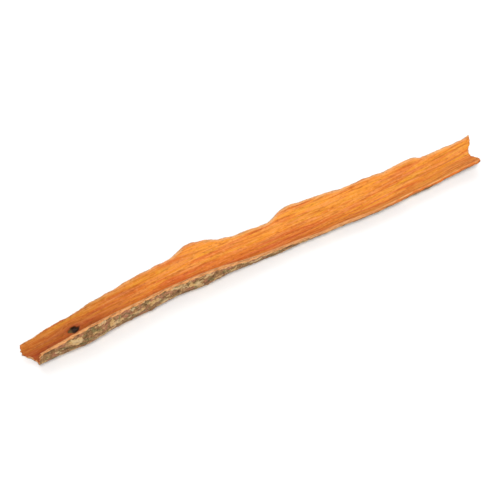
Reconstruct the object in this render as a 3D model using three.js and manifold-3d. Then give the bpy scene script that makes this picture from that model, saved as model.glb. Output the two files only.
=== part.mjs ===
// A strip of split cinnamon bark, dried until it curls along its grain into a long open channel.
// The smooth inner face is hollow, and the rough outer face still carries the grey bark.
// The strip lies along X on its keel, the line where it touches the table, inner face up.
// Its front edge (-Y) curls up and over at the left end and opens out towards the right end.
// Lengths are millimetres and angles are degrees.
import * as THREE from "three";
import { mergeVertices } from "three/addons/utils/BufferGeometryUtils.js";
import Module from "manifold-3d";

const LENGTH = 266; // along the grain, from one end to the other
const BARK = 2.2; // thickness of the bark along the keel
const EDGE_BARK = 1.5; // thickness at the two long edges
const EDGE_TAPER = 5; // how far in from an edge the bark starts to thin

// The strip's shape along its length. "at" is the distance from the left end, and keel is how far
// the keel stands to the back of the strip's straight axis. front and back are the widths of bark
// on each side of the keel, measured round the curve, and the two curls are how steeply each side
// stands at its edge: at 90 it is upright, and past 90 it leans back over the hollow.
const STATIONS = [
  { at: 0, keel: -3.2, front: 13, frontCurl: 118, back: 9.9, backCurl: 48 },
  { at: 16, keel: -1.9, front: 17.5, frontCurl: 124, back: 11.9, backCurl: 50 },
  { at: 34, keel: -0.9, front: 21.9, frontCurl: 127, back: 12.9, backCurl: 50 },
  { at: 55, keel: 0.6, front: 20.8, frontCurl: 124, back: 14.2, backCurl: 50 },
  { at: 80, keel: 1.2, front: 19.2, frontCurl: 120, back: 15.6, backCurl: 48 },
  { at: 103, keel: 0.1, front: 18.7, frontCurl: 118, back: 15.8, backCurl: 46 },
  { at: 128, keel: -1.1, front: 14.5, frontCurl: 98, back: 14.4, backCurl: 47 },
  { at: 145, keel: -1.8, front: 13.1, frontCurl: 84, back: 13.4, backCurl: 46 },
  { at: 166, keel: -2, front: 12.8, frontCurl: 73, back: 13.3, backCurl: 44 },
  { at: 205, keel: -3, front: 15, frontCurl: 67, back: 14.2, backCurl: 44 },
  { at: 240, keel: -2.7, front: 14, frontCurl: 63, back: 11.1, backCurl: 44 },
  { at: 266, keel: -2.4, front: 15.6, frontCurl: 63, back: 9.4, backCurl: 44 },
];

// The back edge was torn, not cut: it swells out quickly and dies away slowly at these places.
const SWELLS = [
  { at: 103, rise: 13, fall: 24, width: 4 },
  { at: 160, rise: 15, fall: 40, width: 4 },
  { at: 237, rise: 20, fall: 5, width: 1.8 },
];
const EDGE_WAVE = 0.15; // fine waviness of both long edges
const EDGE_WAVELENGTH = 23;

// How far each end reaches past its nominal line, from the front edge (0) to the back edge (1).
// The left end is torn back in its front half, and the right end is torn into a tooth and a spur.
const LEFT_END = [
  { across: 0, reach: -5.2 },
  { across: 0.2, reach: -4.2 },
  { across: 0.5, reach: -4.2 },
  { across: 0.64, reach: -3 },
  { across: 0.8, reach: 0.4 },
  { across: 1, reach: -0.6 },
];
const RIGHT_END = [
  { across: 0, reach: -2.8 },
  { across: 0.13, reach: 0 },
  { across: 0.47, reach: 0 },
  { across: 0.67, reach: 0.6 },
  { across: 1, reach: 5.4 },
];

// The strip bows lengthwise: it touches the table near its two feet and is clear between them.
const LEFT_FOOT = 60;
const RIGHT_FOOT = 214;
const BOW = 0.5; // clearance under the middle
const SEAT = 0.4; // how much of each foot is pressed flat
const RIPPLE = 0.3; // slow unevenness of both faces
const RIPPLE_LENGTH = 47;

// The pit where a twig grew out, in the inner face just behind the keel.
const KNOT_AT = 29;
const KNOT_FROM_KEEL = 4.7;
const KNOT_LENGTH = 6;
const KNOT_WIDTH = 3.8;
const KNOT_DEPTH = 1.3;

const ROWS = 108; // along the strip
const COLUMNS = 15; // across the strip

const radians = THREE.MathUtils.degToRad;
const { clamp, lerp, smoothstep } = THREE.MathUtils;

// One of the stations' sizes at a distance along the strip, on a smooth curve through them all.
function sizeAt(name, distance) {
  const last = STATIONS.length - 1;
  const place = clamp(distance, 0, LENGTH);
  let i = 0;
  while (i < last - 1 && STATIONS[i + 1].at < place) i += 1;
  const slope = (k) => {
    const before = STATIONS[Math.max(k - 1, 0)];
    const after = STATIONS[Math.min(k + 1, last)];
    return (after[name] - before[name]) / (after.at - before.at);
  };
  const from = STATIONS[i];
  const to = STATIONS[i + 1];
  const span = to.at - from.at;
  const t = (place - from.at) / span;
  const endPull = (3 - 2 * t) * t * t;
  const bend = t * (1 - t) * span;
  return lerp(from[name], to[name], endPull) + bend * ((1 - t) * slope(i) - t * slope(i + 1));
}

// How far the torn back edge stands out at a distance along the strip.
function swellAt(distance) {
  let width = 0;
  for (const swell of SWELLS) {
    const rising = smoothstep(distance, swell.at - swell.rise, swell.at);
    const falling = 1 - smoothstep(distance, swell.at, swell.at + swell.fall);
    width += swell.width * rising * falling;
  }
  return width;
}

// The reach of an end at a place across the strip, in straight lines between its named points.
function reachAt(end, across) {
  let i = 0;
  while (i < end.length - 2 && end[i + 1].across < across) i += 1;
  const t = (across - end[i].across) / (end[i + 1].across - end[i].across);
  return lerp(end[i].reach, end[i + 1].reach, t);
}

function edgeWave(distance, phase) {
  const turn = (2 * Math.PI * distance) / EDGE_WAVELENGTH + phase;
  return EDGE_WAVE * (Math.sin(turn) + 0.6 * Math.sin(2.3 * turn + 1));
}

function frontWidth(distance) {
  return sizeAt("front", distance) + edgeWave(distance, 0);
}

function backWidth(distance) {
  return sizeAt("back", distance) + swellAt(distance) + edgeWave(distance, 2);
}

// The height of the keel: nothing at the feet, a little in the middle and more at the ends.
function keelHeight(distance) {
  const half = (RIGHT_FOOT - LEFT_FOOT) / 2;
  const bow = ((distance - LEFT_FOOT) * (distance - RIGHT_FOOT)) / (half * half);
  return BOW * bow * bow;
}

function ripple(distance, arc) {
  const turn = (2 * Math.PI * distance) / RIPPLE_LENGTH;
  return RIPPLE * Math.sin(turn + arc / 6) * Math.sin(0.37 * turn - arc / 4);
}

// A point of the bark. arc is measured round the curve from the keel, positive to the back, and
// depth goes from 0 on the outer face to 1 on the inner face.
function barkPoint(distance, arc, depth) {
  const side = arc < 0 ? -1 : 1;
  const width = side < 0 ? frontWidth(distance) : backWidth(distance);
  const curl = radians(sizeAt(side < 0 ? "frontCurl" : "backCurl", distance));
  const radius = width / curl;
  const angle = Math.abs(arc) / radius;
  const fromEdge = width - Math.abs(arc);
  const thickness = lerp(EDGE_BARK, BARK, smoothstep(fromEdge, 0, EDGE_TAPER));
  const rise = thickness * depth + ripple(distance, arc);
  const y = sizeAt("keel", distance) + side * Math.sin(angle) * (radius - rise);
  const z = radius - Math.cos(angle) * (radius - rise) + keelHeight(distance) - SEAT;
  return new THREE.Vector3(distance, y, depth > 0 ? z : Math.max(z, 0));
}

// The strip as a fine box bent into shape: x runs along it, y across it and z through it.
function stripGeometry() {
  const box = new THREE.BoxGeometry(1, 1, 1, ROWS, COLUMNS, 1);
  const position = box.attributes.position;
  for (let i = 0; i < position.count; i += 1) {
    const across = position.getY(i) + 0.5;
    const start = -reachAt(LEFT_END, across);
    const end = LENGTH + reachAt(RIGHT_END, across);
    const distance = lerp(start, end, position.getX(i) + 0.5);
    const arc = lerp(-frontWidth(distance), backWidth(distance), across);
    const point = barkPoint(distance, arc, position.getZ(i) + 0.5);
    position.setXYZ(i, point.x, point.y, point.z);
  }
  return box;
}

// The hollow of the knot: a flattened ball that sits half in the inner face.
function knotGeometry() {
  const ball = new THREE.SphereGeometry(1, 14, 8);
  ball.scale(KNOT_LENGTH / 2, KNOT_WIDTH / 2, KNOT_DEPTH);
  const centre = barkPoint(KNOT_AT, KNOT_FROM_KEEL, 1);
  const outer = barkPoint(KNOT_AT, KNOT_FROM_KEEL, 0);
  ball.rotateX(Math.atan2(outer.y - centre.y, centre.z - outer.z));
  ball.translate(centre.x, centre.y, centre.z);
  return ball;
}

const wasm = await Module();
wasm.setup();

function solidOf(geometry) {
  const bare = geometry.clone();
  bare.deleteAttribute("normal");
  bare.deleteAttribute("uv");
  const merged = mergeVertices(bare, 1e-4);
  return new wasm.Manifold(
    new wasm.Mesh({
      numProp: 3,
      vertProperties: merged.attributes.position.array,
      triVerts: new Uint32Array(merged.index.array),
    }),
  );
}

function geometryOf(solid) {
  const mesh = solid.getMesh();
  const geometry = new THREE.BufferGeometry();
  geometry.setAttribute("position", new THREE.BufferAttribute(mesh.vertProperties, 3));
  geometry.setIndex(new THREE.BufferAttribute(mesh.triVerts, 1));
  geometry.computeVertexNormals();
  return geometry;
}

const bark = geometryOf(solidOf(stripGeometry()).subtract(solidOf(knotGeometry())));

// The origin is under the middle of the strip, on the table.
bark.computeBoundingBox();
const middle = bark.boundingBox.getCenter(new THREE.Vector3());
bark.translate(-middle.x, -middle.y, -bark.boundingBox.min.z);

const innerBark = new THREE.MeshStandardMaterial({ color: 0xe0853a, roughness: 0.75, metalness: 0 });
const strip = new THREE.Mesh(bark, innerBark);
strip.name = "bark_strip";

const cinnamonBark = new THREE.Group();
cinnamonBark.add(strip);

export default cinnamonBark;
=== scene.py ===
# A strip of split cinnamon bark, dried until it has curled into a channel, on a pale table.
# The bark's own sizes are in millimetres. Meshes, lights and the camera are in metres.
import math

import bpy
import numpy as np
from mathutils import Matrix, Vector


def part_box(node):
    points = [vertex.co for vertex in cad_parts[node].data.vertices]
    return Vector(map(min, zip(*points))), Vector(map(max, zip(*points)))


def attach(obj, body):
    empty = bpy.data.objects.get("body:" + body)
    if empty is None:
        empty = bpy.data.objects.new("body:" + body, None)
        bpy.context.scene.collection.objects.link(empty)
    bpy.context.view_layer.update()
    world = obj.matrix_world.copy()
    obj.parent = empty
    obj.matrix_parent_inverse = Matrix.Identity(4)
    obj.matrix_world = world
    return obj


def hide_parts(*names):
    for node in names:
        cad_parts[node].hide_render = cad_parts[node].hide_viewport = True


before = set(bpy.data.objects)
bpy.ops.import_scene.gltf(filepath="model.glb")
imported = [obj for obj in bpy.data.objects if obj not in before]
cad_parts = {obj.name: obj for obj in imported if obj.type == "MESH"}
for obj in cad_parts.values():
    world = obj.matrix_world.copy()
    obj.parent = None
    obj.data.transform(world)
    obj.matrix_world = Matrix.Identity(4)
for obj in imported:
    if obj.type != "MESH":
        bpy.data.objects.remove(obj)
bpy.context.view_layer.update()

MM = 0.001

# ---------------------------------------------------------------------------------------------
# The strip. A split of bark peeled off a branch and dried until it curls along its grain. The
# hollow side is the smooth orange inner bark that lay on the wood, and the other side is the grey
# cork of the living tree. It was split off by hand, so its long edges and both its ends are torn.

LENGTH = 266  # along the grain
BARK = 2.2  # thickness along the keel, the line that the strip lies on
EDGE_BARK = 1.5  # thickness at the two long edges
EDGE_TAPER = 5  # how far in from an edge the bark starts to thin

# The strip's shape at places along it: the distance from the left end, how far the keel stands to
# the back of the strip's axis, the width of bark in front of the keel and how steeply that side
# stands at its edge, and the same two sizes behind the keel.
AT, KEEL, FRONT, FRONT_CURL, BACK, BACK_CURL = range(6)
STATIONS = np.array([
    (0, -3.2, 13, 118, 9.9, 48),
    (16, -1.9, 17.5, 124, 11.9, 50),
    (34, -0.9, 21.9, 127, 12.9, 50),
    (55, 0.6, 20.8, 124, 14.2, 50),
    (80, 1.2, 19.2, 120, 15.6, 48),
    (103, 0.1, 18.7, 118, 15.8, 46),
    (128, -1.1, 14.5, 98, 14.4, 47),
    (145, -1.8, 13.1, 84, 13.4, 46),
    (166, -2, 12.8, 73, 13.3, 44),
    (205, -3, 15, 67, 14.2, 44),
    (240, -2.7, 14, 63, 11.1, 44),
    (266, -2.4, 15.6, 63, 9.4, 44),
])

# Where the torn back edge swells out: distance, length of its rise, of its fall, and width.
SWELLS = ((103, 13, 24, 4), (160, 15, 40, 4), (237, 20, 5, 1.8))
EDGE_WAVE = 0.15  # fine waviness of both long edges
EDGE_WAVELENGTH = 23

# How far the ends reach past the nominal length, from the front edge (0) to the back edge (1).
LEFT_END = ((0, -5.2), (0.2, -4.2), (0.5, -4.2), (0.64, -3), (0.8, 0.4), (1, -0.6))
RIGHT_END = ((0, -2.8), (0.13, 0), (0.47, 0), (0.67, 0.6), (1, 5.4))

LEFT_FOOT = 60
RIGHT_FOOT = 214
BOW = 0.5  # clearance under the middle, between the two feet
SEAT = 0.4  # how much of each foot is pressed flat
RIPPLE = 0.3  # slow unevenness of both faces
RIPPLE_LENGTH = 47


def size_at(kind, distance):
    """One of the stations' sizes at distances along the strip, on a smooth curve through them."""
    at = STATIONS[:, AT]
    size = STATIONS[:, kind]
    slope = np.empty(len(at))
    slope[1:-1] = (size[2:] - size[:-2]) / (at[2:] - at[:-2])
    slope[0] = (size[1] - size[0]) / (at[1] - at[0])
    slope[-1] = (size[-1] - size[-2]) / (at[-1] - at[-2])
    place = np.clip(distance, 0, LENGTH)
    i = np.clip(np.searchsorted(at, place) - 1, 0, len(at) - 2)
    span = at[i + 1] - at[i]
    t = (place - at[i]) / span
    pull = (3 - 2 * t) * t * t
    bend = t * (1 - t) * span
    return size[i] * (1 - pull) + size[i + 1] * pull + bend * ((1 - t) * slope[i] - t * slope[i + 1])


def eased(x, low, high):
    """0 below low, 1 above high, and a smooth slope between them."""
    t = np.clip((x - low) / (high - low), 0, 1)
    return t * t * (3 - 2 * t)


def ridge(x, middle, spread):
    """1 at the middle, dying away smoothly on both sides."""
    return np.exp(-(((x - middle) / spread) ** 2))


def edge_wave(distance, phase):
    turn = 2 * math.pi * distance / EDGE_WAVELENGTH + phase
    return EDGE_WAVE * (np.sin(turn) + 0.6 * np.sin(2.3 * turn + 1))


def front_width(distance):
    return size_at(FRONT, distance) + edge_wave(distance, 0)


def back_width(distance):
    width = size_at(BACK, distance) + edge_wave(distance, 2)
    for at, rise, fall, most in SWELLS:
        width = width + most * eased(distance, at - rise, at) * (1 - eased(distance, at, at + fall))
    return width


def bark_points(distance, arc, depth, relief=0.0):
    """Points of the bark. arc runs round the curve from the keel to the back, depth from the
    outer face (0) to the inner face (1), and relief lifts a point towards the hollow."""
    width = np.where(arc < 0, front_width(distance), back_width(distance))
    curl = np.radians(np.where(arc < 0, size_at(FRONT_CURL, distance), size_at(BACK_CURL, distance)))
    radius = width / curl
    angle = np.abs(arc) / radius
    thickness = EDGE_BARK + (BARK - EDGE_BARK) * eased(width - np.abs(arc), 0, EDGE_TAPER)
    turn = 2 * math.pi * distance / RIPPLE_LENGTH
    ripple = RIPPLE * np.sin(turn + arc / 6) * np.sin(0.37 * turn - arc / 4)
    rise = thickness * depth + ripple + relief
    half = (RIGHT_FOOT - LEFT_FOOT) / 2
    bow = (distance - LEFT_FOOT) * (distance - RIGHT_FOOT) / (half * half)
    y = size_at(KEEL, distance) + np.sign(arc) * np.sin(angle) * (radius - rise)
    z = radius - np.cos(angle) * (radius - rise) + BOW * bow * bow - SEAT
    return np.stack((distance, y, np.maximum(z, 0)), axis=-1)


def block_surface(rows, columns, layers):
    """The grid points on the surface of a block of rows x columns x layers cells, and its faces."""
    number = {}
    faces = []

    def quad(corners, turned):
        ring = [number.setdefault(corner, len(number)) for corner in corners]
        faces.append(ring[::-1] if turned else ring)

    for i in range(rows):
        for j in range(columns):
            for k in (0, layers):
                quad(((i, j, k), (i + 1, j, k), (i + 1, j + 1, k), (i, j + 1, k)), k == 0)
        for k in range(layers):
            for j in (0, columns):
                quad(((i, j, k), (i + 1, j, k), (i + 1, j, k + 1), (i, j, k + 1)), j > 0)
    for j in range(columns):
        for k in range(layers):
            for i in (0, rows):
                quad(((i, j, k), (i, j + 1, k), (i, j + 1, k + 1), (i, j, k + 1)), i == 0)
    return np.array(list(number), float) / (rows, columns, layers), faces


NOISE_SIZE = 128  # how many swells there are before the randomness repeats
NOISE_HEIGHT = 1.6  # brings the swells to about full height


def unevenness(along, across, seed):
    """Smooth random height from about -1 to 1, with one swell to each unit along and across."""
    lean = np.random.default_rng(seed).uniform(0, 2 * math.pi, (NOISE_SIZE, NOISE_SIZE))
    along, across = np.broadcast_arrays(along, across)
    i = np.floor(along).astype(int)
    j = np.floor(across).astype(int)
    s = along - i
    t = across - j

    def slope(di, dj):
        turn = lean[(i + di) % NOISE_SIZE, (j + dj) % NOISE_SIZE]
        return np.cos(turn) * (s - di) + np.sin(turn) * (t - dj)

    fade_s = s ** 3 * (s * (6 * s - 15) + 10)
    fade_t = t ** 3 * (t * (6 * t - 15) + 10)
    near = slope(0, 0) * (1 - fade_t) + slope(0, 1) * fade_t
    far = slope(1, 0) * (1 - fade_t) + slope(1, 1) * fade_t
    return NOISE_HEIGHT * (near * (1 - fade_s) + far * fade_s)


def relief_of(swells, along, across, seed):
    """Several sizes of unevenness together, each a height with the length and width of a swell."""
    return sum(
        height * unevenness(along / length, across / width, seed + n)
        for n, (height, length, width) in enumerate(swells)
    )


# The mesh is a fine block bent into shape. Each of its points has three shares: from the left end
# to the right end, from the front edge to the back edge, and from the outer face to the inner face.
ROWS = 400
COLUMNS = 112
LAYERS = 5
block, faces = block_surface(ROWS, COLUMNS, LAYERS)
lengthwise, across, depth = block.T

# The torn ends and edges. The layers of the bark tear at slightly different places, and at the
# ends the fibres break off in bundles with pointed tips.
END_TEAR = ((0.5, 5, 0.7), (0.25, 1.6, 0.4))
EDGE_TEAR = ((0.3, 5, 0.5), (0.2, 1.6, 0.3))
BUNDLES = ((1.3, 0.5), (0.6, 0.35))  # the width of a bundle and how far its tip may stick out
BUNDLE_SWAY = ((0.5, 2.2, 0.5),)
TORN_LAYERS = 2.5  # how many layers of bundles make up the thickness
LAYER_SHIFT = 3  # how many bundles on from the layer under it a layer starts
SIZE_SHIFT = 37  # keeps the two widths of bundle from having the same tips
LIP = 0.25  # how far an edge is rounded out in the middle of its thickness
FRONT_TEARING = 0.4
BACK_TEARING = 1


def bundle_tips(arc, depth, seed):
    """How far the fibres stick out past a torn end, or fall short of it."""
    tips = relief_of(END_TEAR, arc, depth, seed)
    lengths = np.random.default_rng(seed).uniform(-1, 1, NOISE_SIZE)
    for n, (width, reach) in enumerate(BUNDLES):
        place = (arc + relief_of(BUNDLE_SWAY, arc, depth, seed + 3)) / width
        bundle = np.floor(place + LAYER_SHIFT * np.floor(TORN_LAYERS * depth)).astype(int)
        tip = 1 - np.abs(2 * (place % 1) - 1)
        tips = tips + reach * tip * lengths[(bundle + SIZE_SHIFT * n) % NOISE_SIZE]
    return tips


start = -np.interp(across, *zip(*LEFT_END))
end = LENGTH + np.interp(across, *zip(*RIGHT_END))
plain_distance = start + (end - start) * lengthwise
plain_front = front_width(plain_distance)
plain_arc = across * (plain_front + back_width(plain_distance)) - plain_front
start -= bundle_tips(plain_arc, depth, seed=11)
end += bundle_tips(plain_arc, depth, seed=15)
distance = start + (end - start) * lengthwise
lip = LIP * (1 - (2 * depth - 1) ** 2)
front_torn = FRONT_TEARING * relief_of(EDGE_TEAR, distance, depth, seed=21)
back_torn = BACK_TEARING * relief_of(EDGE_TEAR, distance, depth, seed=25)
front_edge = front_width(distance) + lip + front_torn
back_edge = back_width(distance) + lip + back_torn
arc = across * (front_edge + back_edge) - front_edge
from_edge = np.minimum(arc + front_edge, back_edge - arc)

# The grain wanders a little, and parts round the knot where a twig grew out. from_knot is the
# distance from the middle of the knot's pit, 1 at the pit's edge.
KNOT_AT = 29
KNOT_FROM_KEEL = 4.7
KNOT_LENGTH = 6
KNOT_WIDTH = 3.8
KNOT_RAGGED = ((0.3, 1.9, 1.4),)
WANDER = ((1.1, 48, 9),)
PARTING = 2  # how far round the knot the grain parts, in the same measure as from_knot
along_knot = (distance - KNOT_AT) / (KNOT_LENGTH / 2)
across_knot = (arc - KNOT_FROM_KEEL) / (KNOT_WIDTH / 2)
from_knot = np.hypot(along_knot, across_knot) + relief_of(KNOT_RAGGED, distance, arc, seed=7)
parting = across_knot * np.exp(-((along_knot / PARTING) ** 2) - (across_knot / PARTING) ** 2)
grain = arc + relief_of(WANDER, distance, arc, seed=5) - KNOT_WIDTH / 2 * parting

# Inner face: hollows and fibres along the grain, patches where the skin has peeled, grooves at
# the right, and the knot's pit with a raised collar.
INNER_SWELLS = ((0.22, 26, 9), (0.12, 42, 2.6), (0.07, 20, 1.2), (0.04, 11, 0.6))
PEEL = 0.1  # how deep the peeled patches lie
PEEL_SWELLS = ((1, 36, 2.6), (0.35, 11, 1.2))
PEEL_STARTS = 0.3  # the level of unevenness at which the skin starts to peel
PEEL_FULL = 0.4
GROOVE_DEEPENS = 15  # the length over which a groove gets deep at its left end
GROOVE_FADES = 8  # and the length over which it dies away at its right end
GROOVES = (  # left end, right end, middle across the grain, half width and depth of each
    (150, 262, -9.2, 0.5, 0.3),
    (196, 268, -6.4, 0.35, 0.22),
    (214, 266, 1.5, 0.4, 0.2),
)
KNOT_DEPTH = 1.5
PIT_FLOOR = 0.5  # how far out the floor of the pit reaches, by from_knot
PIT_RIM = 1.05
COLLAR = 0.25  # how high the collar stands
COLLAR_AT = 1.35
COLLAR_WIDTH = 0.3
peeling = relief_of(PEEL_SWELLS, distance, grain, seed=71)
peeled = eased(peeling, PEEL_STARTS, PEEL_FULL)
groove = np.zeros_like(distance)
grooving = np.zeros_like(distance)
for left, right, middle, half_width, deep in GROOVES:
    opening = eased(distance, left, left + GROOVE_DEEPENS)
    closing = 1 - eased(distance, right - GROOVE_FADES, right)
    cut = opening * closing * ridge(grain, middle, half_width)
    groove = np.maximum(groove, cut)
    grooving += deep * cut
pit = 1 - eased(from_knot, PIT_FLOOR, PIT_RIM)
collar = ridge(from_knot, COLLAR_AT, COLLAR_WIDTH)
inner_relief = relief_of(INNER_SWELLS, distance, grain, seed=31)
inner_relief += COLLAR * collar - PEEL * peeled - grooving - KNOT_DEPTH * pit

# Outer face: knobbly cork with wrinkles along it and short cracks across it, lens-shaped breathing
# pores that lie across the strip, crusts of lichen, and chips out of both edges.
CORK_SWELLS = ((0.22, 15, 6), (0.12, 24, 1.9), (0.1, 3.4, 1.9), (0.06, 1.7, 0.9))
LICHEN = 0.14  # how thick the crusts are
LICHEN_SWELLS = ((0.9, 7, 3.6), (0.6, 3.2, 2), (0.4, 1.5, 1))
LICHEN_STARTS = 0.1  # the level of unevenness at which a crust starts
LICHEN_FULL = 0.4
growth = relief_of(LICHEN_SWELLS, distance, arc, seed=61)
lichen = eased(growth, LICHEN_STARTS, LICHEN_FULL)

CRACK = 0.3  # how deep a crack is
CROSS_CRACK = 0.8  # how deep the cracks across the strip are beside those along it


def cracks(across, spacing, opening, patches, rare, common, seed):
    """Cracks run where a random height passes through zero, and only in some patches of the bark.
    spacing and patches are each a length and a width."""
    height = unevenness(distance / spacing[0], across / spacing[1], seed)
    patch = unevenness(distance / patches[0], arc / patches[1], seed + 1)
    return ridge(height, 0, opening) * eased(patch, rare, common)


long_cracks = cracks(
    grain, spacing=(17, 1.8), opening=0.08, patches=(30, 7), rare=-0.1, common=0.3, seed=64,
)
cross_cracks = cracks(
    arc, spacing=(3.2, 8), opening=0.09, patches=(9, 5), rare=0.1, common=0.4, seed=66,
)
crack = np.maximum(long_cracks, CROSS_CRACK * cross_cracks)

PORE = 0.28  # how far a pore stands out
PORES = 230
PORE_HALF_LENGTH = (0.45, 0.75)  # shortest and longest
PORE_HALF_WIDTH = (0.7, 2)
PORE_AROUND = (-23, 20)  # how far round the bark they are strewn, from the keel
pore = np.zeros_like(distance)
chance = np.random.default_rng(51)
for n in range(PORES):
    pore_distance = chance.uniform(0, LENGTH)
    pore_arc = chance.uniform(*PORE_AROUND)
    half_length = chance.uniform(*PORE_HALF_LENGTH)
    half_width = chance.uniform(*PORE_HALF_WIDTH)
    along_pore = (distance - pore_distance) / half_length
    across_pore = (arc - pore_arc) / half_width
    pore = np.maximum(pore, np.exp(-(along_pore ** 2 + across_pore ** 2)))

# A twig scar is a low ring with a dip in it. Each is a distance and a place round the curve.
TWIG_SCARS = ((68, -12), (131, 6), (188, -9), (246, 5))
SCAR = 0.4  # how high the ring stands
SCAR_HALF_LENGTH = 2.1
SCAR_ROUNDNESS = 0.8  # its width beside its length
SCAR_RING = 0.3  # how wide the ring is, as a share of the scar
SCAR_DIP = 0.9  # how deep the dip is beside the height of the ring
SCAR_DIP_WIDTH = 0.5
scar = np.zeros_like(distance)
for scar_distance, scar_arc in TWIG_SCARS:
    along_scar = (distance - scar_distance) / SCAR_HALF_LENGTH
    across_scar = (arc - scar_arc) / (SCAR_ROUNDNESS * SCAR_HALF_LENGTH)
    from_scar = np.hypot(along_scar, across_scar)
    scar += ridge(from_scar, 1, SCAR_RING) - SCAR_DIP * ridge(from_scar, 0, SCAR_DIP_WIDTH)

CHIP = 0.25  # how deep the cork is chipped
CHIP_SWELLS = ((0.6, 3, 2),)
CHIP_FULL = 0.7  # how far in from the edge the cork is gone
CHIP_ENDS = 1.2
chip = 1 - eased(from_edge + relief_of(CHIP_SWELLS, distance, arc, seed=68), CHIP_FULL, CHIP_ENDS)

outer_relief = CHIP * chip + CRACK * crack - LICHEN * lichen - PORE * pore - SCAR * scar
outer_relief -= relief_of(CORK_SWELLS, distance, arc, seed=41)

relief = inner_relief * depth + outer_relief * (1 - depth)
points = bark_points(distance, arc, depth, relief)

# The strip is moved so that, without its relief and its torn fibres, it fills its CAD box.
lowest = bark_points(plain_distance, plain_arc, depth).min(axis=0)
points += (np.array(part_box("bark_strip")[0]) / MM - lowest) * (1, 1, 0)


def piece(name, points, faces, marks):
    """A smooth mesh object from points in millimetres. Its marks are numbers or triples of
    numbers, one for each point, that its material reads."""
    mesh = bpy.data.meshes.new(name)
    mesh.from_pydata(points * MM, [], faces)
    mesh.polygons.foreach_set("use_smooth", [True] * len(faces))
    for mark, values in marks.items():
        kind, field = ("FLOAT", "value") if values.ndim == 1 else ("FLOAT_VECTOR", "vector")
        layer = mesh.attributes.new(mark, kind, "POINT")
        layer.data.foreach_set(field, values.astype(np.float32).ravel())
    mesh.update()
    made = bpy.data.objects.new(name, mesh)
    bpy.context.collection.objects.link(made)
    return made


strip = piece("cinnamon_bark", points, faces, {
    "grain": np.stack((distance, grain, depth), axis=-1),
    "from_edge": from_edge,
    "from_knot": from_knot,
    "peeling": peeling,
    "groove": groove,
    "chip": chip,
    "growth": growth,
    "crack": crack,
    "pore": pore,
})


class Finish:
    """A material under construction. Each call adds a node and gives what comes out of it."""

    def __init__(self, name):
        self.material = bpy.data.materials.new(name)
        self.material.use_nodes = True
        self.tree = self.material.node_tree
        self.shader = self.tree.nodes["Principled BSDF"]

    def join(self, value, socket):
        if isinstance(value, bpy.types.NodeSocket):
            self.tree.links.new(value, socket)
        else:
            socket.default_value = value

    def node(self, kind, inputs, **settings):
        made = self.tree.nodes.new(kind)
        for name, value in settings.items():
            setattr(made, name, value)
        for name, value in inputs.items():
            self.join(value, made.inputs[name])
        return made

    def mark(self, name, output="Fac"):
        """One of the mesh's marks: Fac for a number, Vector for three."""
        return self.node("ShaderNodeAttribute", {}, attribute_name=name).outputs[output]

    def noise(self, place, along, across, through=1.0, shift=0.0, detail=3.0, roughness=0.55):
        """Noise from 0 to 1 whose swells are along x across x through in size."""
        scaled = self.node("ShaderNodeMapping", {
            "Vector": place,
            "Location": (shift, 0.7 * shift, 0.3 * shift),
            "Scale": (1 / along, 1 / across, 1 / through),
        })
        return self.node("ShaderNodeTexNoise", {
            "Vector": scaled.outputs["Vector"],
            "Scale": 1.0,
            "Detail": detail,
            "Roughness": roughness,
        }).outputs["Fac"]

    def ramp(self, value, low, high, at_low=0.0, at_high=1.0):
        """A smooth slope from at_low, where value is low, to at_high, where it is high."""
        return self.node("ShaderNodeMapRange", {
            "Value": value,
            "From Min": low,
            "From Max": high,
            "To Min": at_low,
            "To Max": at_high,
        }, interpolation_type="SMOOTHSTEP").outputs["Result"]

    def clouds(self, place, along, across, start, full, most=1.0, **texture):
        """Clouds of that length and width. start and full are the levels of noise where a cloud
        starts and where it is at its most."""
        return self.ramp(self.noise(place, along, across, **texture), start, full, 0, most)

    def maths(self, operation, *values):
        made = self.node("ShaderNodeMath", {}, operation=operation)
        for n, value in enumerate(values):
            self.join(value, made.inputs[n])
        return made.outputs["Value"]

    def blend(self, share, ground, cover, way="MIX"):
        """Cover laid over ground where share is 1, or in way MULTIPLY as a tint of it."""
        made = self.node("ShaderNodeMix", {"Factor": share}, data_type="RGBA", blend_type=way)
        ground_socket, cover_socket = made.inputs[6], made.inputs[7]
        self.join(ground, ground_socket)
        self.join(cover, cover_socket)
        return made.outputs[2]


def paint(red, green, blue):
    """A colour as a screen shows it, 0 to 255, in the linear values that a shader takes."""
    def linear(value):
        value /= 255
        return value / 12.92 if value <= 0.04045 else ((value + 0.055) / 1.055) ** 2.4

    return (linear(red), linear(green), linear(blue), 1)


bark = Finish("cinnamon_bark")
place = bark.mark("grain", "Vector")
along, around, through = bark.node("ShaderNodeSeparateXYZ", {"Vector": place}).outputs


def part_of_bark(along_span, around_span):
    """1 in one part of the bark and 0 away from it. Each span goes from its 0 to its 1."""
    return bark.maths("MULTIPLY", bark.ramp(along, *along_span), bark.ramp(around, *around_span))


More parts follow.
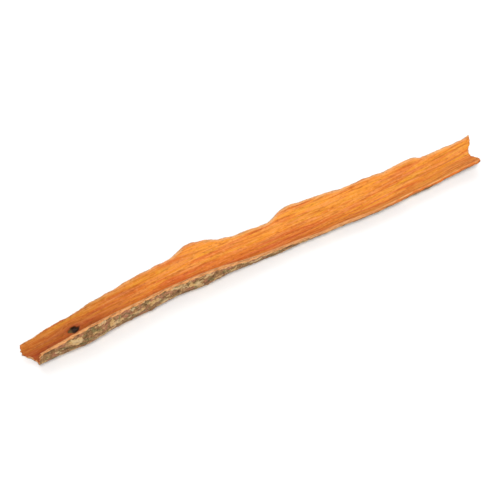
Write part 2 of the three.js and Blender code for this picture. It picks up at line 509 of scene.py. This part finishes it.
# Inner bark: orange skin in long yellower and redder clouds and streaks, with fine pale and dark
# fibres, and red where it has peeled. Painted light makes it brighter towards the back and, at the
# right, towards the front; painted shade makes it darker and a little redder at the left and darker
# and browner from the keel forwards. It is pale where its edges fray.
ORANGE = paint(214, 124, 26)
# Painted light: a brighter orange laid towards the back and, at the right, towards the front.
PAINTED_LIGHT_ORANGE = paint(238, 152, 50)
YELLOW_ORANGE = paint(222, 144, 42)
RED_ORANGE = paint(200, 90, 28)
PALE_EDGE = paint(228, 168, 106)
PALE_FIBRE = paint(242, 172, 108)
DARK_FIBRE = paint(152, 70, 20)
DULL_SHADE = paint(232, 226, 205)
# Painted shade: a darker, slightly redder tint over the left end, most towards the front.
LEFT_PAINTED_SHADE = paint(208, 196, 180)
# Painted shade: a darker, browner tint from the keel forwards in the left half.
KEEL_PAINTED_SHADE = paint(235, 206, 204)
PAINTED_LIGHT_SHARE = 0.7
PAINTED_LIGHT_PARTS = (((110, 210), (6, -10)), ((65, 115), (2, 11)))
STREAKS = (  # colour, length, width, strength, and the shift that sets it apart from the others
    (paint(222, 156, 32), 40, 2.2, 0.6, 13),
    (paint(188, 78, 20), 34, 1.9, 0.6, 29),
    (paint(228, 144, 84), 22, 1.6, 0.45, 47),
)
inner = ORANGE
# Painted light: the brighter orange goes on towards the back and on the front at the right.
for along_span, around_span in PAINTED_LIGHT_PARTS:
    painted_light = bark.maths("MULTIPLY", part_of_bark(along_span, around_span), PAINTED_LIGHT_SHARE)
    inner = bark.blend(painted_light, inner, PAINTED_LIGHT_ORANGE)
yellowed = bark.clouds(place, 34, 5, start=0.46, full=0.7, most=0.55, shift=11)
inner = bark.blend(yellowed, inner, YELLOW_ORANGE)
flushed = bark.clouds(place, 26, 4, start=0.52, full=0.72, most=0.5, shift=23)
inner = bark.blend(flushed, inner, RED_ORANGE)
for colour, length, width, most, shift in STREAKS:
    streak = bark.clouds(place, length, width, start=0.46, full=0.68, most=most, shift=shift, detail=2)
    inner = bark.blend(streak, inner, colour)

FRAY = 1.6  # how unevenly far in from an edge the fraying reaches
fray = bark.noise(place, 6, 0.6, shift=61, detail=4)
fringe = bark.ramp(bark.maths("MULTIPLY_ADD", fray, -FRAY, bark.mark("from_edge")), 0.4, -0.3, 0, 0.8)
fringe = bark.maths("MULTIPLY", fringe, bark.ramp(along, 25, 90, 0.2, 1))
inner = bark.blend(fringe, inner, PALE_EDGE)

fibres = bark.noise(place, 12, 0.32, shift=5, detail=4, roughness=0.65)
peeled_fibres = bark.maths("MULTIPLY_ADD", fibres, 0.8, bark.mark("peeling"))
inner = bark.blend(bark.ramp(peeled_fibres, 0.7, 0.85, 0, 0.5), inner, RED_ORANGE)
inner = bark.blend(bark.ramp(fibres, 0.52, 0.72, 0, 0.55), inner, PALE_FIBRE)
inner = bark.blend(bark.ramp(fibres, 0.48, 0.28, 0, 0.45), inner, DARK_FIBRE)
dulled = bark.clouds(place, 9, 1.5, start=0.5, full=0.68, shift=79)
inner = bark.blend(dulled, inner, DULL_SHADE, "MULTIPLY")
flecks = bark.noise(place, 2.4, 1.2, shift=37)
inner = bark.blend(bark.ramp(flecks, 0.52, 0.8, 0, 0.4), inner, PALE_FIBRE)
inner = bark.blend(bark.ramp(flecks, 0.47, 0.24, 0, 0.6), inner, DARK_FIBRE)

WAVER = 60  # how far along the strip the limit of the painted shade at the left wavers
# Painted shade at the left: darker and a little redder, strongest towards the front.
wavering = bark.maths("MULTIPLY_ADD", bark.noise(place, 30, 7), WAVER, along)
painted_left_shade = bark.maths("MULTIPLY", bark.ramp(wavering, 125, 40), bark.ramp(around, 12, 3, 0.6, 1))
inner = bark.blend(painted_left_shade, inner, LEFT_PAINTED_SHADE, "MULTIPLY")
# Painted shade from the keel forwards, fading out towards the right.
painted_keel_shade = part_of_bark((215, 115), (9, 1))
inner = bark.blend(painted_keel_shade, inner, KEEL_PAINTED_SHADE, "MULTIPLY")
inner = bark.blend(bark.maths("MULTIPLY", bark.mark("groove"), 0.5), inner, DARK_FIBRE)

# The knot: a pit whose dark brown floor is painted shade, greener at its left, with a red-brown ring
# round it.
KNOT_RING = paint(150, 66, 26)
# The dark brown on the pit's floor is painted shade.
PIT_PAINTED_SHADE = paint(46, 27, 17)
PIT_GREEN = paint(108, 88, 52)
PIT_FADE = 1.8
to_knot = bark.mark("from_knot")
inner = bark.blend(bark.ramp(to_knot, 2, 1.2, 0, 0.5), inner, KNOT_RING)
# The pit's floor: greener at its left, painted shade elsewhere.
pit_colour = bark.blend(bark.ramp(along, KNOT_AT - PIT_FADE, KNOT_AT), PIT_GREEN, PIT_PAINTED_SHADE)
inner = bark.blend(bark.ramp(to_knot, 1.3, 0.75), inner, pit_colour)

# The torn thickness of the bark: pale peach with a brown line next to the cork, and orange where
# the front edge is torn on a slant at the right. The skin of the inner face and the cork both break
# off unevenly, so each laps over the torn edge here and there.
PEACH = paint(216, 154, 98)
TAWNY = paint(180, 114, 64)
SLANT_ORANGE = paint(208, 110, 40)
CORK_BROWN = paint(128, 92, 60)
SKIN_FADE = 0.14
CORK_FADE = 0.1
strands = bark.noise(place, 4, 0.7, 0.12, shift=3, detail=4)
torn = bark.blend(bark.ramp(strands, 0.42, 0.64), PEACH, TAWNY)
torn = bark.blend(part_of_bark((180, 225), (-4, -8)), torn, SLANT_ORANGE)
layered = bark.blend(bark.ramp(through, 0.34, 0.14), torn, CORK_BROWN)
skin_line = bark.ramp(bark.noise(place, 4, 2, shift=19), 0.35, 0.65, 0.35, 0.84)
is_inner = bark.ramp(through, skin_line, bark.maths("ADD", skin_line, SKIN_FADE))
cork_line = bark.ramp(bark.noise(place, 3, 2, shift=31), 0.4, 0.7, 0.12, 0.5)
is_outer = bark.ramp(through, cork_line, bark.maths("ADD", cork_line, -CORK_FADE))

# Outer bark: beige cork in pinkish, greenish and brown clouds, with crusts of pale lichen, tan
# pores, dark cracks and a fine pale and dark grit. The torn bark shows where the cork is chipped.
BEIGE = paint(134, 95, 57)
PINK_BEIGE = paint(160, 104, 76)
GREEN_GREY = paint(118, 104, 62)
BARK_BROWN = paint(84, 54, 34)
LICHEN_GREY = paint(206, 176, 130)
LICHEN_GOLD = paint(200, 158, 100)
PORE_TAN = paint(176, 136, 88)
CRACK_BROWN = paint(72, 48, 30)
outer = bark.blend(bark.clouds(place, 5, 2.6, start=0.45, full=0.62, shift=41), BEIGE, PINK_BEIGE)
outer = bark.blend(bark.clouds(place, 4, 2.4, start=0.48, full=0.66, shift=53), outer, GREEN_GREY)
browning = bark.clouds(place, 3, 1.6, start=0.48, full=0.7, most=0.8, shift=67, detail=5)
outer = bark.blend(browning, outer, BARK_BROWN)
ragged = bark.noise(place, 1.2, 1, shift=83, detail=5, roughness=0.65)
crusted = bark.maths("MULTIPLY_ADD", ragged, 1.8, bark.mark("growth"))
gilding = bark.clouds(place, 6, 4, start=0.4, full=0.6, shift=97)
crust_colour = bark.blend(gilding, LICHEN_GREY, LICHEN_GOLD)
outer = bark.blend(bark.ramp(crusted, 0.95, 1.5, 0, 0.85), outer, crust_colour)
outer = bark.blend(bark.maths("MULTIPLY", bark.mark("pore"), 0.7), outer, PORE_TAN)
grit = bark.noise(place, 0.9, 0.6, shift=71, detail=4, roughness=0.7)
outer = bark.blend(bark.ramp(grit, 0.52, 0.7, 0, 0.5), outer, LICHEN_GREY)
outer = bark.blend(bark.ramp(grit, 0.48, 0.3, 0, 0.6), outer, CRACK_BROWN)
outer = bark.blend(bark.maths("MULTIPLY", bark.mark("crack"), 0.8), outer, CRACK_BROWN)
bared = bark.maths("MULTIPLY_ADD", ragged, 0.8, bark.mark("chip"))
outer = bark.blend(bark.ramp(bared, 0.75, 0.95), outer, torn)

# All of it is dry and matt. The inner skin is a little smoother than the cork and the torn edges.
MATT = 0.9
SKIN_MATT = 0.62
SHINE = 0.24
FIBRE_BUMP = 0.7
GRIT_BUMP = 0.8
BUMP_HEIGHT = 0.3 * MM
colour = bark.blend(is_inner, layered, inner)
colour = bark.blend(is_outer, colour, outer)
bark.join(colour, bark.shader.inputs["Base Color"])
bark.join(bark.ramp(is_inner, 0, 1, MATT, SKIN_MATT), bark.shader.inputs["Roughness"])
bark.shader.inputs["Specular IOR Level"].default_value = SHINE
fibre_bump = bark.node("ShaderNodeBump", {
    "Height": fibres,
    "Strength": bark.maths("MULTIPLY", is_inner, FIBRE_BUMP),
    "Distance": BUMP_HEIGHT,
})
grit_bump = bark.node("ShaderNodeBump", {
    "Height": grit,
    "Strength": bark.ramp(is_inner, 0, 1, GRIT_BUMP, 0),
    "Distance": BUMP_HEIGHT,
    "Normal": fibre_bump.outputs["Normal"],
})
bark.join(grit_bump.outputs["Normal"], bark.shader.inputs["Normal"])
strip.data.materials.append(bark.material)

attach(strip, "root")
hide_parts("bark_strip")

# ---------------------------------------------------------------------------------------------
# The studio: a pale floor that the strip lies on, one large soft light high above it in front, a
# weak one at the right and another behind it, and pale air all round.

FLOOR_SIZE = 6
FLOOR_WHITE = paint(246, 246, 246)
bpy.ops.mesh.primitive_plane_add(size=FLOOR_SIZE)
floor = bpy.context.object
floor.name = "studio_floor"
board = Finish("studio_floor")
board.shader.inputs["Base Color"].default_value = FLOOR_WHITE
board.shader.inputs["Roughness"].default_value = MATT
floor.data.materials.append(board.material)

LIGHT_DISTANCE = 2


def direction(azimuth, elevation):
    """The way from the strip to something that looks at it from that angle, in degrees."""
    a = math.radians(azimuth)
    e = math.radians(elevation)
    return Vector((math.sin(a) * math.cos(e), -math.cos(a) * math.cos(e), math.sin(e)))


def look_from(holder, way, distance, aim=Vector()):
    holder.location = aim + way * distance
    holder.rotation_euler = way.to_track_quat("Z", "Y").to_euler()
    bpy.context.collection.objects.link(holder)


def soft_light(name, azimuth, elevation, strength, spread):
    lamp = bpy.data.lights.new(name, "SUN")
    lamp.energy = strength
    lamp.angle = math.radians(spread)
    look_from(bpy.data.objects.new(name, lamp), direction(azimuth, elevation), LIGHT_DISTANCE)


soft_light("key_light", azimuth=-30, elevation=55, strength=2.65, spread=24)
soft_light("fill_light", azimuth=70, elevation=35, strength=0.3, spread=60)
soft_light("back_light", azimuth=165, elevation=50, strength=0.85, spread=60)

# The air lights the strip softly, and a camera that looks along the floor sees it as plain white.
AIR_LIGHT = 0.34
WHITE = (1, 1, 1, 1)
air = bpy.data.worlds.new("studio_air")
bpy.context.scene.world = air
air.use_nodes = True
sky = air.node_tree
glow = sky.nodes["Background"]
glow.inputs["Color"].default_value = WHITE
glow.inputs["Strength"].default_value = AIR_LIGHT
backdrop = sky.nodes.new("ShaderNodeBackground")
backdrop.inputs["Color"].default_value = WHITE
choice = sky.nodes.new("ShaderNodeMixShader")
path = sky.nodes.new("ShaderNodeLightPath")
sky.links.new(path.outputs["Is Camera Ray"], choice.inputs["Fac"])
sky.links.new(glow.outputs["Background"], choice.inputs[1])
sky.links.new(backdrop.outputs["Background"], choice.inputs[2])
sky.links.new(choice.outputs["Shader"], sky.nodes["World Output"].inputs["Surface"])

# The camera looks at the middle of the strip as it sees it, which a few rounds of aiming find. The
# picture is a little wider than the strip looks from there.
VIEW = direction(azimuth=-31.6, elevation=50)
VIEW_DISTANCE = 1.1
PICTURE_WIDTH = 0.258
SENSOR_WIDTH = 36
ROUNDS = 3
look = np.array(VIEW.to_track_quat("Z", "Y").to_matrix())
aim = np.zeros(3)
for n in range(ROUNDS):
    seen = (points * MM - aim) @ look
    pictured = seen[:, :2] / (VIEW_DISTANCE - seen[:, 2:])
    off_centre = VIEW_DISTANCE * (pictured.min(axis=0) + pictured.max(axis=0)) / 2
    aim += look[:, :2] @ off_centre
lens = bpy.data.cameras.new("camera")
lens.sensor_width = SENSOR_WIDTH
lens.lens = SENSOR_WIDTH * VIEW_DISTANCE / PICTURE_WIDTH
camera = bpy.data.objects.new("camera", lens)
look_from(camera, VIEW, VIEW_DISTANCE, Vector(aim))
bpy.context.scene.camera = camera
bpy.context.scene.view_settings.view_transform = "Standard"
